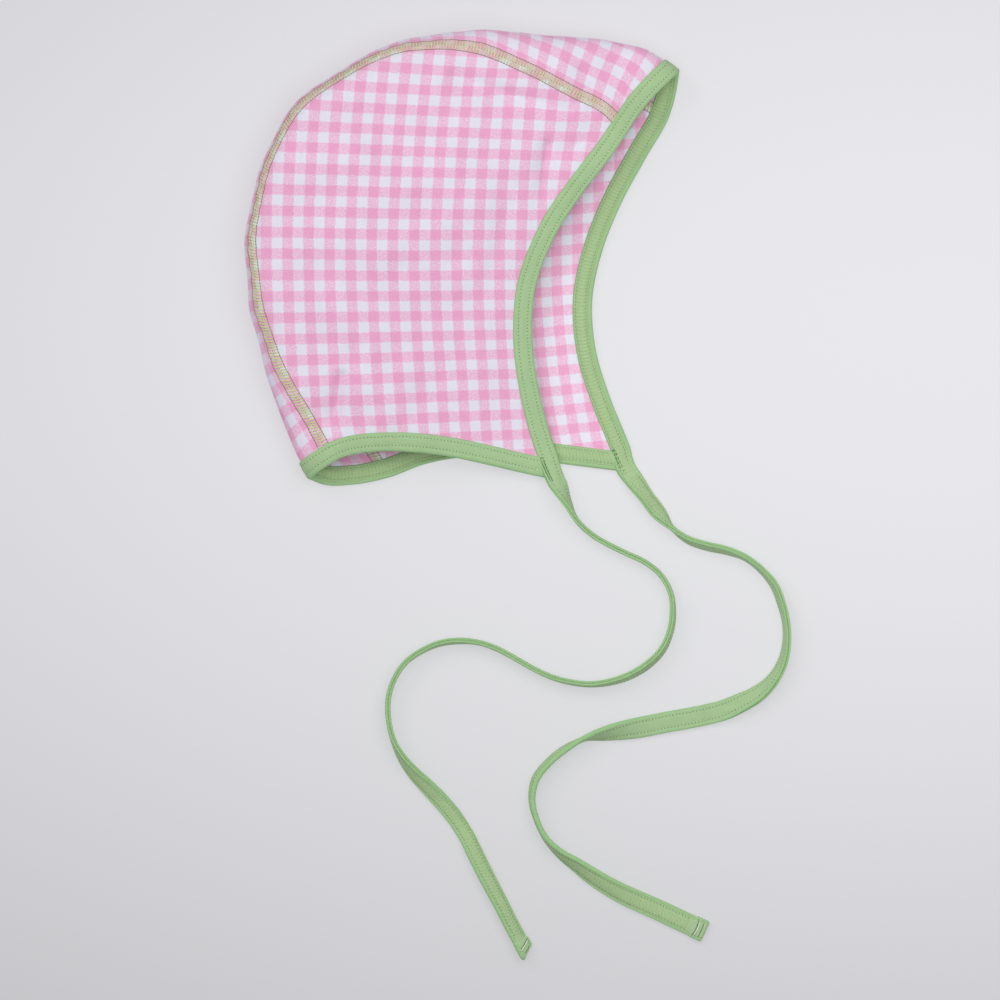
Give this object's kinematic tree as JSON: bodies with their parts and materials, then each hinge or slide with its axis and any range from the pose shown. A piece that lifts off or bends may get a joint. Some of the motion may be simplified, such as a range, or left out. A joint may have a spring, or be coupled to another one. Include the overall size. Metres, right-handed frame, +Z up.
{
  "type": "baby's swim cap",
  "caption": "Baby's swim bonnet of gingham jersey with bound edges and long ties, lying on its side, for keeping the sun off a small head in the water.",
  "frame": {"origin": "on the underside of the left side panel, level with the surface that the cap lies on, near the middle of the cap", "axes": "+X towards the face opening, +Y towards the crown, +Z up from the surface, towards the wearer's right"},
  "size_m": [0.2293, 0.3922, 0.0246],
  "materials": {
    "gingham_jersey": "matt knitted jersey in small pink and white checks",
    "seam_thread": "matt flat seam of green and pale olive thread",
    "binding_jersey": "matt light green jersey strip"
  },
  "bodies": {
    "root": {"side_panel_right": "gingham_jersey", "side_panel_left": "gingham_jersey", "centre_panel": "gingham_jersey", "crown_seam_right": "seam_thread", "crown_seam_left": "seam_thread", "face_binding": "binding_jersey", "neck_binding": "binding_jersey", "tie_right": "binding_jersey", "tie_left": "binding_jersey", "tie_end_right": "binding_jersey", "tie_end_left": "binding_jersey"}
  },
  "joints": []
}
